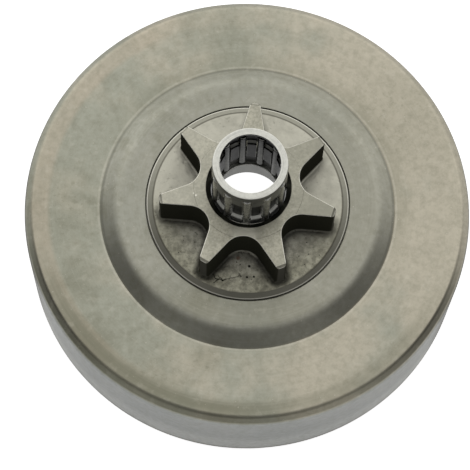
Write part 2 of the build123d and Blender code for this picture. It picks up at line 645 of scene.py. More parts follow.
    def stained(
        self, kit: ShaderKit, at: SteelCoordinates, clouds: Socket
    ) -> list[tuple[Socket, Colour]]:
        """The stains as coats: a soft cloud each, with dark crumbs and pale dots in it.

        Args:
            kit: The material's node writer.
            at: Where a point lies.
            clouds: The drum's broad noise.

        Returns:
            Each coat's mask and colour.
        """
        crumbs = kit.noise(at.place, 0.8, 3, 0.65)
        coats = []
        for stain in self.stains:
            soft = at.spot(stain.x, stain.y, 0.15 * stain.radius, stain.radius)
            ragged = kit.times(soft, kit.step(clouds, 0.25, 0.6, 0.4, stain.strength + 0.4))
            dots = kit.times(soft, stain.strength)
            coats.append((kit.times(ragged, stain.strength), self.dark))
            coats.append((kit.times(dots, kit.step(crumbs, 0.56, 0.68)), self.dark))
            coats.append((kit.times(dots, kit.step(crumbs, 0.36, 0.29, 0.0, 0.6)), self.speck))
        return coats


@dataclass(frozen=True)
class SprocketFinish:
    """Hardened steel: satin tops with turning marks, walls dark with oxide and painted darker still as shade,
    and a rough pitted flange.
    """

    top: Colour = srgb(182, 179, 163)
    # Worn serves the wear, and the painted shade on the right of the tops
    worn: Colour = srgb(146, 145, 132)
    bevel: Colour = srgb(170, 169, 156)
    flange: Colour = srgb(192, 190, 176)
    # Dirt serves the dirt, and the painted shade on the bevel and the floor's rim
    dirt: Colour = srgb(74, 72, 62)
    # Wall and tip: dark with oxide, and painted darker still as shade
    wall: Colour = srgb(46, 46, 38)
    # Soot serves the pits, cracks and seam, and the painted shade at the walls' feet
    soot_and_shade: Colour = srgb(9, 9, 7)
    tip: Colour = srgb(76, 75, 68)
    # Painted shade on the bore's chamfer
    mouth: Colour = srgb(58, 58, 52)
    bore: Colour = srgb(165, 165, 162)
    # Bright serves the nicks, and the painted glint and highlights
    bright: Colour = srgb(238, 236, 224)
    rust: Colour = srgb(120, 78, 60)
    dust: Colour = srgb(178, 176, 152)
    floor_mm: float = 25.45
    top_mm: float = 34.55
    bore_mm: float = 8.45
    edge_mm: float = 19.02
    bore_edge_mm: float = 7.47
    tip_mm: float = 17.77
    # Centre of the painted pool of light on the hub
    painted_light_place: Point = (0.0, -9.6)
    lip_mm: float = 20.27
    cracks: tuple[Crack, ...] = (
        Crack((-5.0, -16.7), (-3.8, -16.8)),
        Crack((-3.8, -16.8), (-2.1, -16.2)),
        Crack((-2.1, -16.2), (-0.15, -15.6), 0.13),
        Crack((-5.0, -16.7), (-5.7, -15.7), 0.13),
        Crack((-4.4, -16.7), (-5.6, -17.6), 0.15),
        Crack((-3.8, -16.8), (-4.6, -15.9), 0.12),
    )
    pits: tuple[Stain, ...] = (
        Stain(1.3, -13.5, 0.42),
        Stain(1.05, -15.8, 0.34),
        Stain(2.4, -15.6, 0.34),
    )
    rust_spot: Stain = Stain(-1.0, -12.0, 0.6, 0.6)
    nicks: tuple[Stain, ...] = (Stain(-10.2, -2.6, 0.26, 0.7), Stain(-10.7, -2.2, 0.2, 0.6))

    def build(self) -> Material:
        """Writes the material.

        Returns:
            The material.
        """
        material, kit, shader = new_material("sprocket_steel_worn")
        at = SteelCoordinates(kit)
        grain = kit.noise(at.place, 0.7, 4, 0.65)
        clouds = kit.noise(at.place, 5, 4, 0.6)
        high = at.span(at.z, self.floor_mm + 4, self.top_mm - 2)
        upright = kit.step(at.up, 0.45, 0.97, 1.0, 0.0)
        # The teeth's upright walls: dark with oxide and painted darker as shade, matt, lighter at the tooth
        # ends
        black = kit.times(upright, at.span(at.z, self.floor_mm - 0.02, self.floor_mm + 0.25))
        end = at.span(at.radius, self.tip_mm - 0.15, self.tip_mm - 0.02)
        # Painted shade: the bore's chamfer darkened all round, the bore's wall kept pale
        within = at.span(at.radius, self.bore_mm - 0.04, self.bore_mm, 1.0, 0.0)
        glint = kit.times(at.ring(self.bore_edge_mm + 0.1, 0.03, 0.11), at.span(at.y, -6.6, -7.3), high)
        nicks = [kit.times(at.spot(n.x, n.y, 0.5 * n.radius, n.radius), n.strength, high) for n in self.nicks]
        colour = kit.layers(
            kit.mix(high, self.flange_colour(kit, at, clouds), self.top_colour(kit, at, clouds, grain)),
            (black, kit.mix(end, self.wall, self.tip)),
            (within, self.mouth),
            (kit.times(within, kit.step(at.up, 0.1, 0.4, 1.0, 0.0)), self.bore),
            (glint, self.bright),
            *((nick, self.bright) for nick in nicks),
        )
        matt = kit.math("MAXIMUM", kit.times(black, kit.rest(within)), glint)
        rough = kit.math("SUBTRACT", kit.sway(0.44, grain, 0.25), kit.times(high, 0.08))
        height = kit.math("ADD", kit.times(at.turned(0.22, 1.1), high, 0.7), grain)
        bump = kit.node("ShaderNodeBump", Strength=0.18, Distance=0.0001, Height=height)
        kit.set(shader, Metallic=kit.rest(matt), Specular_IOR_Level=0.0)
        kit.set(shader, Base_Color=colour, Roughness=rough, Normal=bump.outputs[0])
        return material

    def top_colour(self, kit: ShaderKit, at: SteelCoordinates, clouds: Socket, grain: Socket) -> Socket:
        """The end face's colour: worn satin steel, with painted light on its left, painted shade on its
        right, a painted pool of light before the bore and painted highlights along its edges.

        Args:
            kit: The material's node writer.
            at: Where a point lies.
            clouds: The sprocket's broad noise.
            grain: Its fine noise.

        Returns:
            The colour's socket.
        """
        scratches = kit.noise(at.place, 0.45, 2, 0.5)
        top = kit.layers(
            kit.mix(kit.step(clouds, 0.40, 0.68, 0.0, 0.6), self.top, self.worn),
            (kit.step(grain, 0.40, 0.70, 0.0, 0.45), self.worn),
            (kit.step(scratches, 0.42, 0.68, 0.0, 0.6), self.worn),
            (kit.step(scratches, 0.40, 0.28, 0.0, 0.4), self.flange),
            # Painted shade on the right of the tops, painted light on their left
            (at.span(at.x, 6.0, 14.0, 0.0, 0.75), self.worn),
            (at.span(at.x, -5.0, -13.0, 0.0, 0.35), self.flange),
        )
        # Painted light: a pale pool on the hub in front of the bore
        lit = kit.mix(at.spot(*self.painted_light_place, 1.0, 3.4), top, self.flange)
        # Painted highlight along the tops' edges and the tips' rims, stronger on the near side
        nose = at.span(at.radius, self.tip_mm - 0.62, self.tip_mm - 0.5)
        rim = at.span(at.radius, self.tip_mm - 0.2, self.tip_mm - 0.1)
        ridge = kit.times(
            kit.step(at.up, 0.55, 0.75),
            kit.step(at.up, 0.93, 0.99, 1.0, 0.0),
            kit.math("ADD", kit.rest(nose), rim),
            at.span(at.y, 12.0, -6.0, 0.75, 1.0),
        )
        return kit.layers(top, (at.span(at.radius, 10.5, 11.2, 1.0, 0.0), lit), (ridge, self.bright))

    def flange_colour(self, kit: ShaderKit, at: SteelCoordinates, clouds: Socket) -> Socket:
        """The flange's colour, with its dirt, pits and cracks, painted shade along the feet of the teeth's
        walls, and the lines of its edge: painted shade on the bevel and the floor's rim, a painted highlight
        on the lip and a dark seam.

        Args:
            kit: The material's node writer.
            at: Where a point lies.
            clouds: The sprocket's broad noise.

        Returns:
            The colour's socket.
        """
        front = at.span(at.y, 4.0, -12.0)
        patchy = kit.times(kit.step(clouds, 0.42, 0.72), kit.step(front, 0.0, 1.0, 0.25, 0.5))
        pits = kit.step(kit.noise(at.place, 0.8, 3, 0.6), 0.60, 0.70)
        scuffs = kit.step(kit.noise(at.place, 1.7, 5, 0.7), 0.36, 0.64, 0.20, 0.66)
        gap = kit.node("ShaderNodeAttribute", {"attribute_name": WALL_GAP}).outputs["Fac"]
        aside = at.span(kit.math("ABSOLUTE", at.x), 5.0, 8.0)
        root = kit.math("MAXIMUM", at.span(at.radius, 10.8, 12.8), aside)
        # Painted shade along the feet of the teeth's walls, strongest on the near side
        foot = kit.times(
            kit.step(gap, 0.35, 1.8, 0.85, 0.0),
            kit.step(root, 0.0, 1.0, 0.45, 1.0),
            kit.step(front, 0.0, 1.0, 0.35, 1.0),
        )
        rust = self.rust_spot
        ragged = at.ragged(0.9, 0.9)
        # Painted shade: the bevel darker on its near side, and a dark line along the floor's rim that fades
        # on the near side
        bevel = kit.mix(at.span(at.y, 16.0, -14.0, 0.25, 0.55), self.bevel, self.dirt)
        rim_line = kit.times(at.ring(self.edge_mm, 0.06, 0.26, 0.75), at.span(at.y, -18.0, -10.0, 0.15, 1.0))
        return kit.layers(
            kit.mix(patchy, self.flange, self.dirt),
            (kit.times(pits, kit.step(front, 0.0, 1.0, 0.3, 0.75)), self.dirt),
            (kit.times(front, at.span(at.radius, 11.5, 17.8), 0.5), self.dust),
            (kit.times(front, scuffs), self.dirt),
            (foot, self.soot_and_shade),
            *((at.spot(pit.x, pit.y, 0.3 * pit.radius, pit.radius), self.soot_and_shade) for pit in self.pits),
            (kit.times(at.spot(rust.x, rust.y, 0.2 * rust.radius, rust.radius), rust.strength), self.rust),
            *((kit.times(at.line(ragged, crack), 0.75), self.soot_and_shade) for crack in self.cracks),
            (at.span(at.radius, self.edge_mm - 0.05, self.edge_mm + 0.15), bevel),
            (rim_line, self.dirt),
            # Painted highlight: a pale line along the lip
            (at.ring(self.lip_mm - 0.12, 0.04, 0.14, 0.6), self.bright),
            (at.span(at.radius, self.lip_mm - 0.04, self.lip_mm - 0.01, 0.0, 0.5), self.soot_and_shade),
        )


@dataclass(frozen=True)
class DirtFinish:
    """Dry oily dirt."""

    light: Colour = srgb(66, 62, 52)
    dark: Colour = srgb(34, 32, 27)

    def build(self) -> Material:
        """Writes the material.

        Returns:
            The material.
        """
        material, kit, shader = new_material("dirt_dry")
        grain = kit.noise(SteelCoordinates(kit).place, 0.4, 3, 0.6)
        colour = kit.mix(kit.step(grain, 0.35, 0.65), self.dark, self.light)
        kit.set(shader, Base_Color=colour, Metallic=0.0, Roughness=0.8)
        return material


@dataclass(frozen=True)
class BearingFinish:
    """Bearing steel: ground bright where it faces up, gunmetal on its outer sides, and painted dark as shade
    on sides that face the axis and in the sunken waist, where the oil setting also dulls it.
    """

    name: str
    face: Colour
    side: Colour
    # Painted shade on sides that face the axis and in the sunken waist
    inside: Colour
    roughness: float
    grain_mm: float
    oil: float = 0.0
    waist_mm: float = 5.0
    shade: Colour = srgb(24, 24, 23)
    smut: Colour = srgb(40, 40, 38)

    def build(self) -> Material:
        """Writes the material.

        Returns:
            The material.
        """
        material, kit, shader = new_material(self.name)
        at = SteelCoordinates(kit)
        grain = kit.noise(at.place, self.grain_mm, 3, 0.6)
        clouds = kit.noise(at.place, 3.5, 3, 0.55)
        outer = kit.step(at.outward(), -0.3, 0.3)
        proud = kit.times(outer, at.span(at.radius, self.waist_mm, self.waist_mm + 0.4))
        # Painted shade: sides that face the axis and the sunken waist take the dark inside colour, darker
        # still towards the top
        side = kit.layers(
            kit.mix(at.span(at.z, 36.0, 45.0, 0.0, 0.75), self.inside, self.shade),
            (proud, self.side),
            (kit.step(clouds, 0.35, 0.7, 0.0, 0.4), self.smut),
        )
        face = kit.layers(
            kit.mix(kit.step(grain, 0.3, 0.75, 0.0, 0.2), self.face, self.side),
            (kit.step(at.turned(0.28, 0.7), 0.48, 0.72, 0.0, 0.3), self.side),
        )
        colour = kit.mix(kit.step(at.up, 0.55, 0.9), side, face)
        metal = kit.step(kit.math("MAXIMUM", proud, at.up), 0.0, 0.6, 1.0 - self.oil, 1.0)
        height = kit.math("ADD", at.turned(0.12, 2.0), grain)
        bump = kit.node("ShaderNodeBump", Strength=0.08, Distance=0.00005, Height=height)
        rough = kit.sway(self.roughness, grain, 0.2)
        kit.set(shader, Metallic=metal, Specular_IOR_Level=0.15)
        kit.set(shader, Base_Color=colour, Roughness=rough, Normal=bump.outputs[0])
        return material


# Pieces


@dataclass
class DrumBell:
    """The cup: plain wall, bevelled edge, flat ring and raised plateau with a hole for the sprocket."""

    radius: float = 44.985
    depth: float = 22.6
    sheet: float = 3.0
    edge_run: Point = (1.5, 0.42)
    edge_fall: Point = (0.9, 1.5)
    edge_round: tuple[float, float, float] = (1.4, 1.0, 1.9)
    edge_band: float = 4.3
    edge_drop: float = 0.2
    inner_corner: float = 1.2
    rim_break: float = 0.4
    hole_radius: float = 20.47
    hole_break: float = 0.15
    plateau_flat: float = 5.8
    plateau_rise: float = 2.25
    slope_run: float = 3.5
    shoulder_radius: float = 5.2
    under_radius: float = 3.0
    crease_radius: float = 0.25
    segments: int = 320
    sharp_deg: float = 35.0

    def section(self) -> list[Point]:
        """The half section as a closed path.

        Returns:
            Radius and height of each point.
        """
        shoulder = self.hole_radius + self.plateau_flat
        crease = shoulder + self.slope_run
        top = self.depth + self.plateau_rise
        under = self.depth - self.sheet
        shift = self.sheet * math.tan(math.atan2(self.plateau_rise, self.slope_run) / 2)
        inside = self.radius - self.sheet
        edge = self.depth - self.edge_drop
        bevel_top = self.depth - self.edge_drop * (1 - self.edge_run[0] / self.edge_band)
        corners = [
            Corner(inside, 0, self.rim_break, 3),
            Corner(self.radius, 0, self.rim_break, 3),
            Corner(self.radius, edge - self.edge_fall[1], self.edge_round[2], 7),
            Corner(self.radius - self.edge_run[1], edge - self.edge_fall[0], self.edge_round[1], 5),
            Corner(self.radius - self.edge_run[0], bevel_top, self.edge_round[0], 7),
            Corner(self.radius - self.edge_band, self.depth, 1.5, 5),
            Corner(crease, self.depth, self.crease_radius, 5),
            Corner(shoulder, top, self.shoulder_radius, 10),
            Corner(self.hole_radius, top, self.hole_break, 3),
            Corner(self.hole_radius, top - self.sheet),
            Corner(shoulder - shift, top - self.sheet, self.crease_radius, 4),
            Corner(crease - shift, under, self.under_radius, 6),
            Corner(inside, under, self.inner_corner, 6),
        ]
        return rounded_path(corners, True, 0.12)

    def build(self, material: Material) -> Piece:
        """Makes and dresses the piece.

        Args:
            material: Its steel.

        Returns:
            The piece.
        """
        loft = RingLoft("drum_bell_skin")
        angles = even_angles(self.segments)
        for radius, height in self.section():
            loft.add(circle(radius, height, angles))
        piece = loft.build(True, self.sharp_deg)
        piece.data.materials.append(material)
        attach(piece, Body.DRUM.value)
        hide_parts("drum_bell")
        return piece


@dataclass(frozen=True)
class StarPoint:
    """One point of the star's outline."""

    spot: Vector
    outward: Vector
    in_gullet: bool
    at_ring: bool


@dataclass
class SpurSprocket:
    """Flange, star of teeth and hub, as one closed skin of rings."""

    bore_radius: float = 7.47
    root_radius: float = 10.22
    tip_radius: float = 17.77
    tip_width: float = 1.95
    flank_deg: float = 12.5
    tip_corner: float = 0.7
    teeth: int = 7
    first_tooth_deg: float = 90.0
    floor: float = 25.45
    height: float = 9.1
    foot_radius: float = 0.4
    edge_break: float = 0.2
    tip_bevel: float = 0.6
    ring_radius: float = 10.77
    ring_rise: float = 0.06
    ring_slope: float = 0.05
    mouth_run: float = 0.98
    mouth_depth: float = 0.45
    floor_radius: float = 19.02
    flange_radius: float = 20.47
    seam_width: float = 0.2
    seam_depth: float = 0.5
    plateau: float = 24.85
    under: float = 21.85
    base: float = 21.2
    boss_radius: float = 13.02
    support: float = 0.1
    floor_rings: int = 26
    pit_depth: float = 0.07
    sharp_deg: float = 38.0
    outline: list[StarPoint] = field(default_factory=list)

    def half_gap(self) -> list[tuple[Vector, bool, bool]]:
        """Half of one gap's outline, from the middle of a tooth's tip to the bottom of the gap.

        Returns:
            Each point, on the gap's own centre line, with its place in the gullet and on the hub's ring.
        """
        half = math.pi / self.teeth
        tip_half = math.asin(self.tip_width / 2 / self.tip_radius)
        flank = half + math.radians(self.flank_deg)
        corner = self.tip_radius * Vector((math.cos(half - tip_half), math.sin(half - tip_half)))
        meet = corner.x - corner.y / math.tan(flank)
        centre = (self.root_radius - meet * math.sin(flank)) / (1 - math.sin(flank))
        bottom = centre - self.root_radius
        start = Vector((centre - bottom * math.sin(flank), bottom * math.cos(flank)))
        crown = self.tip_radius * Vector((math.cos(half), math.sin(half)))
        side = [Corner(*crown), Corner(*corner, self.tip_corner, 7), Corner(*start)]
        bend = [Vector(p) for p in rounded_path(side, False)]
        points = [bend[0].lerp(bend[1], k / 4) for k in range(4)] + bend[1:-1]
        points += [bend[-2].lerp(bend[-1], k / 16) for k in range(1, 16)]
        rows = [(p, False, False) for p in points]
        inset = bottom + self.edge_break
        ring_turn = math.acos((centre**2 + inset**2 - self.ring_radius**2) / (2 * centre * inset))
        widest = math.pi / 2 - flank
        turns = [(widest + (ring_turn - widest) * k / 8, False, k == 8) for k in range(9)]
        turns += [(ring_turn * (1 - k / 8), True, False) for k in range(1, 9)]
        for turn, gullet, ring in turns:
            spot = Vector((centre - bottom * math.cos(turn), bottom * math.sin(turn)))
            rows.append((spot, gullet, ring))
        return rows

    def trace(self) -> None:
        """Works out the star's outline, anticlockwise, with its outward directions."""
        rows = self.half_gap()
        pitch = [(Vector((p.x, -p.y)), g, r) for p, g, r in rows] + list(reversed(rows))[1:-1]
        half = math.pi / self.teeth
        spots = []
        for tooth in range(self.teeth):
            spin = Matrix.Rotation(math.radians(self.first_tooth_deg) + half * (1 + 2 * tooth), 2)
            spots.extend((spin @ p, g, r) for p, g, r in pitch)
        count = len(spots)
        for k, (here, gullet, ring) in enumerate(spots):
            along = (spots[(k + 1) % count][0] - spots[k - 1][0]).normalized()
            self.outline.append(StarPoint(here, Vector((along.y, -along.x)), gullet, ring))

    def star(self, offset: float, heights: Sequence[float]) -> list[Vector]:
        """A ring that follows the star's outline.

        Args:
            offset: How far it lies outside the outline.
            heights: Height of each point.

        Returns:
            The ring.
        """
        spots = [p.spot + p.outward * offset for p in self.outline]
        return [Vector((s.x, s.y, z)) for s, z in zip(spots, heights)]

    def rough(self, spot: Vector) -> float:
        """Height of the flange's scaly skin at a place.

        Args:
            spot: The place.

        Returns:
            Millimetres above or below the turned level.
        """
        flat = Vector((spot.x, spot.y, 3.0))
        swell = noise.fractal(flat * 0.55, 1.0, 2.0, 4)
        pit = max(noise.noise(flat * 1.6) - 0.28, 0.0)
        return self.pit_depth * (0.35 * swell - 1.6 * pit)

    def top_rings(self, angles: Sequence[float]) -> list[list[Vector]]:
        """The rings of the end face, from the bore's mouth to the edge of the walls.

        Args:
            angles: The angle of each column.

        Returns:
            The rings in order.
        """
        top = self.floor + self.height
        low = top - self.ring_rise
        bevel_start = self.tip_radius - self.tip_bevel
        flat = self.star(-self.edge_break, [top] * len(angles))
        raised = [p.in_gullet or p.at_ring for p in self.outline]
        heights = []
        for edge, up in zip(flat, raised):
            reach = math.hypot(edge.x, edge.y)
            heights.append(top if up else low - max(reach - bevel_start, 0.0))
        inner = [Vector((p.x, p.y, z)) for p, z in zip(flat, heights)]
        land = circle((self.bore_radius + self.mouth_run + self.ring_radius) / 2, top, angles)
        upper, lower = [], []
        for k, point in enumerate(self.outline):
            if point.in_gullet:
                upper.append(land[k].lerp(inner[k], 0.5))
                lower.append(land[k].lerp(inner[k], 0.75))
            elif point.at_ring:
                upper.append(inner[k].copy())
                lower.append(inner[k].copy())
            else:
                upper.extend(circle(self.ring_radius, top, [angles[k]]))
                lower.extend(circle(self.ring_radius + self.ring_slope, low, [angles[k]]))
        bevel = []
        for foot, edge in zip(lower, inner):
            reach, begin = math.hypot(edge.x, edge.y), math.hypot(foot.x, foot.y)
            share = 0.97 if reach <= bevel_start else (bevel_start - begin) / (reach - begin)
            spot = foot.lerp(edge, min(share, 0.97))
            spot.z = foot.z
            bevel.append(spot)
        rings = [land, upper, lower]
        rings += [[a.lerp(b, share) for a, b in zip(lower, bevel)] for share in (0.05, 0.35, 0.65, 0.95)]
        rings.append(bevel)
        for k in range(5):
            turn = math.pi / 2 * k / 4
            drop = self.edge_break * (1 - math.cos(turn))
            rings.append(self.star(-self.edge_break * (1 - math.sin(turn)), [z - drop for z in heights]))
        return rings

    def mark_wall_gap(self, piece: Piece) -> None:
        """Stores how far each vertex lies from the teeth's walls, where the flange gets its painted shade.

        Args:
            piece: The finished skin.
        """
        walls = kdtree.KDTree(len(self.outline))
        for number, point in enumerate(self.outline):
            walls.insert((point.spot.x, point.spot.y, 0.0), number)
        walls.balance()
        gaps = piece.data.attributes.new(WALL_GAP, "FLOAT", "POINT")
        for vertex, item in zip(piece.data.vertices, gaps.data):
            item.value = walls.find((vertex.co.x / MM, vertex.co.y / MM, 0.0))[2]

    def build(self, material: Material) -> Piece:
        """Makes and dresses the piece.

        Args:
            material: Its steel.

        Returns:
            The piece.
        """
        self.trace()
        count = len(self.outline)
        angles = [math.atan2(p.y, p.x) for p in self.star(-self.edge_break, [0.0] * count)]
        top = self.floor + self.height
        bore, mouth = self.bore_radius, self.bore_radius + self.mouth_run
        loft = RingLoft("spur_sprocket_skin")
        for radius, z in (
            (self.boss_radius, self.base),
            (bore + self.mouth_depth, self.base),
            (bore, self.base + self.mouth_depth),
            (bore, self.base + self.mouth_depth + self.support),
            (bore, top - self.mouth_depth - self.support),
            (bore, top - self.mouth_depth),
            (mouth - 0.05, top - 0.026),
            (mouth + 0.02, top),
            (mouth + self.support, top),
        ):
            loft.add(circle(radius, z, angles))
        for ring in self.top_rings(angles):
            loft.add(ring)
        wall_top = [p.z for p in loft.rings[-1]]
        foot_top = self.floor + self.foot_radius
        for share in (0.03, 0.35, 0.65, 0.97):
            loft.add(self.star(0.0, [z + (foot_top - z) * share for z in wall_top]))
        for k in range(6):
            turn = math.pi / 2 * k / 5
            gap = self.foot_radius * (1 - math.cos(turn))
            loft.add(self.star(gap, [foot_top - self.foot_radius * math.sin(turn)] * count))
        foot = loft.rings[-1]
        edge = circle(self.floor_radius, self.floor, angles)
        for k in range(1, self.floor_rings + 1):
            share = k / self.floor_rings
            ring = [a.lerp(b, share) for a, b in zip(foot, edge)]
            calm = min(1.0, 4 * share, 6 * (1 - share))
            loft.add([Vector((p.x, p.y, p.z + calm * self.rough(p))) for p in ring])
        lip = self.flange_radius - self.seam_width
        slope = (self.floor - self.plateau) / (lip - self.floor_radius)
        for radius, z in (
            (self.floor_radius + self.support, self.floor - self.support * slope),
            (lip - self.support, self.plateau + self.support * slope),
            (lip, self.plateau),
            (lip, self.plateau - self.seam_depth),
            (self.flange_radius, self.plateau - self.seam_depth),
            (self.flange_radius, self.under),
            (self.boss_radius, self.under),
        ):
            loft.add(circle(radius, z, angles))
        piece = loft.build(True, self.sharp_deg)
        self.mark_wall_gap(piece)
        piece.data.materials.append(material)
        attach(piece, Body.DRUM.value)
        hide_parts("spur_sprocket")
        return piece


@dataclass
class FlangeGrit:
    """Crumbs of dirt in the gaps of the near teeth, scattered by a node tree."""

    inner: float = 12.6
    outer: float = 18.4
    level: float = 25.44
    middle_deg: tuple[float, ...] = (270.0, 218.6, 321.4)
    half_turn_deg: float = 9.0
    per_square_mm: float = 0.2
    grain: float = 0.15
    smallest: tuple[float, float, float] = (0.4, 0.4, 0.25)
    largest: tuple[float, float, float] = (1.5, 1.1, 0.55)
    tumble: tuple[float, float, float] = (0.3, 0.3, 6.28)
    seed: int = 7

    def patch(self) -> Piece:
        """Makes the gaps' floors as bare sectors to scatter on.

        Returns:
            The sectors' object.
        """
        points, faces = [], []
        for middle in self.middle_deg:
            first = len(points)
            turns = [math.radians(middle + self.half_turn_deg * k / 4) for k in range(-4, 5)]
            points += circle(self.inner, self.level, turns) + circle(self.outer, self.level, turns)
            faces += [[first + k, first + 9 + k, first + 10 + k, first + 1 + k] for k in range(8)]
        return new_piece("flange_grit", [p * MM for p in points], faces, 30)

    def tree(self) -> bpy.types.NodeTree:
        """Writes the node tree: points on the floor, a crumb on each, realized and dressed.

        Returns:
            The node tree.
        """
        tree = bpy.data.node_groups.new("grit_scatter", "GeometryNodeTree")
        tree.interface.new_socket("Geometry", in_out="INPUT", socket_type="NodeSocketGeometry")
        inputs = (("Density", "Float"), ("Grain", "Float"), ("Seed", "Int"), ("Material", "Material"))
        for name, kind in inputs:
            tree.interface.new_socket(name, in_out="INPUT", socket_type=f"NodeSocket{kind}")
        tree.interface.new_socket("Geometry", in_out="OUTPUT", socket_type="NodeSocketGeometry")
        kit = ShaderKit(tree)
        given = kit.node("NodeGroupInput").outputs
        spread = kit.node("GeometryNodeDistributePointsOnFaces", Mesh=given["Geometry"], Seed=given["Seed"])
        kit.set(spread, Density=given["Density"])
        crumb = kit.node("GeometryNodeMeshIcoSphere", Radius=given["Grain"], Subdivisions=2)
        size = kit.node("FunctionNodeRandomValue", {"data_type": "FLOAT_VECTOR"}, Seed=given["Seed"])
        size.inputs[0].default_value = self.smallest
        size.inputs[1].default_value = self.largest
        spin = kit.node("FunctionNodeRandomValue", {"data_type": "FLOAT_VECTOR"}, Seed=given["Seed"])
        spin.inputs[1].default_value = self.tumble
        place = kit.node("GeometryNodeInstanceOnPoints", Points=spread.outputs["Points"])
        kit.set(place, Instance=crumb.outputs["Mesh"], Scale=size.outputs[0], Rotation=spin.outputs[0])
        solid = kit.node("GeometryNodeRealizeInstances", Geometry=place.outputs[0])
        dressed = kit.node("GeometryNodeSetMaterial", Geometry=solid.outputs[0], Material=given["Material"])
        kit.node("NodeGroupOutput", Geometry=dressed.outputs[0])
        return tree

    def build(self, material: Material) -> Piece:
        """Makes and dresses the piece.

        Args:
            material: Its dirt.

        Returns:
            The piece.
        """
        piece = self.patch()
        tree = self.tree()
        values = {
            "Density": self.per_square_mm / MM**2, "Grain": self.grain * MM,
            "Seed": self.seed, "Material": material,
        }
        scatter = piece.modifiers.new("grit", "NODES")
        scatter.node_group = tree
        for socket in tree.interface.items_tree:
            if socket.in_out == "INPUT" and socket.name in values:
                scatter[socket.identifier] = values[socket.name]
        freeze(piece, 60)
        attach(piece, Body.DRUM.value)
        return piece


@dataclass
class BearingCage:
    """The cage: thin sheet bent to an M along the axis, with a pocket for each roller."""

    inner: float = 5.9
    outer: float = 7.22
    sheet: float = 0.6
    top: float = 48.25
    length: float = 18.0
    rim: float = 2.0
    band: float = 5.0
    step: float = 0.6
    bend: float = 0.42
    edge_break: float = 0.07
    rollers: int = 11
    roller_radius: float = 0.85
    pitch_radius: float = 6.6
    pocket_gap: float = 0.06
    first_deg: float = 270.0
    bar_columns: int = 6
    break_over_deg: float = 40.0
    sharp_deg: float = 35.0

    def section(self) -> list[Point]:
        """The middle line of the sheet, from the upper lip to the lower.

        Returns:
            Radius and height of each point.
        """
        half = self.sheet / 2
        band, waist = self.outer - half, self.inner + half
        base = self.top - self.length
        upper = [
            Corner(self.inner, self.top - half),
            Corner(band, self.top - half),
            Corner(band, self.top - self.rim),
            Corner(band, self.top - self.band, self.bend, 4),
            Corner(waist, self.top - self.band - self.step, self.bend, 4),
        ]
        lower = [Corner(c.x, base + self.top - c.y, c.radius, c.steps) for c in reversed(upper)]
        return rounded_path(upper + lower, False, 0.15)

    def column_turns(self, radius: float) -> list[float]:
        """The angles of one pitch's columns at a radius: three across the pocket, the rest across the bar.

        Args:
            radius: Radius of the row.

        Returns:
            The angles from the pocket's centre line.
        """
        reach = self.roller_radius + self.pocket_gap
        half = math.sqrt(reach**2 - (radius - self.pitch_radius) ** 2) / radius
        bar = 2 * math.pi / self.rollers - 2 * half
        turns = [-half, -half / 3, half / 3, half]
        return turns + [half + bar * k / self.bar_columns for k in range(1, self.bar_columns)]

    def build(self, material: Material, worn: Material) -> Piece:
        """Makes and dresses the piece.

        Args:
            material: Its steel.
            worn: The bright steel of its worn edges, partly wear and partly a painted glint.

        Returns:
            The piece.
        """
        rows = self.section()
        points: list[Vector] = []
        for radius, height in rows:
            for pocket in range(self.rollers):
                middle = math.radians(self.first_deg) + 2 * math.pi * pocket / self.rollers
                turns = [middle + turn for turn in self.column_turns(radius)]
                points.extend(p * MM for p in circle(radius, height, turns))
        columns = len(self.column_turns(self.pitch_radius))
        width = columns * self.rollers
        low, high = self.top - self.length + self.rim, self.top - self.rim
        faces = []
        for row in range(len(rows) - 1):
            middle = (rows[row][1] + rows[row + 1][1]) / 2
            for column in range(width):
                if low < middle < high and column % columns < 3:
                    continue
                beside = (column + 1) % width
                here, below = row * width, (row + 1) * width
                faces.append([here + column, below + column, below + beside, here + beside])
        piece = new_piece("bearing_cage_skin", points, faces, 180)
        wall = piece.modifiers.new("sheet", "SOLIDIFY")
        wall.thickness, wall.offset, wall.use_even_offset = self.sheet * MM, 0.0, True
        wall.material_offset_rim = 1
        edges = piece.modifiers.new("edges", "BEVEL")
        edges.width, edges.segments, edges.limit_method = self.edge_break * MM, 2, "ANGLE"
        edges.angle_limit = math.radians(self.break_over_deg)
        edges.material = 1
        piece.data.materials.append(material)
        piece.data.materials.append(worn)
        freeze(piece, self.sharp_deg)
        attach(piece, Body.CAGE.value)
        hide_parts("bearing_cage")
        return piece


@dataclass
class NeedleRollers:
    """The ground rollers, each on its own body."""

    count: int = 11
    radius: float = 0.85
    length: float = 13.8
    end_radius: float = 0.2
    pitch_radius: float = 6.6
    first_deg: float = 270.0
    middle: float = 39.25
    segments: int = 40
    flat_share: float = 0.35
    sharp_deg: float = 35.0

    def build(self, material: Material) -> list[Piece]:
        """Makes and dresses the pieces.

        Args:
            material: Their steel.

        Returns:
            The pieces.
        """
        half = self.length / 2
        inner = self.radius * self.flat_share
        corners = [
            Corner(inner, -half),
            Corner(self.radius, -half, self.end_radius, 5),
            Corner(self.radius, half, self.end_radius, 5),
            Corner(inner, half),
        ]
        section = rounded_path(corners, False, 0.1)
        pieces = []
        for number in range(1, self.count + 1):
            turn = math.radians(self.first_deg + (number - 1) * 360 / self.count)
            (axis,) = circle(self.pitch_radius, self.middle, [turn])
            loft = RingLoft(f"needle_roller_skin_{number:02d}")
            for radius, height in section:
                loft.add([p + axis for p in circle(radius, height, even_angles(self.segments))])
            piece = loft.build(False, self.sharp_deg)
            piece.data.materials.append(material)
            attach(piece, f"roller_{number:02d}")
            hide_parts(f"needle_roller_{number:02d}")
            pieces.append(piece)
        return pieces


# Stage


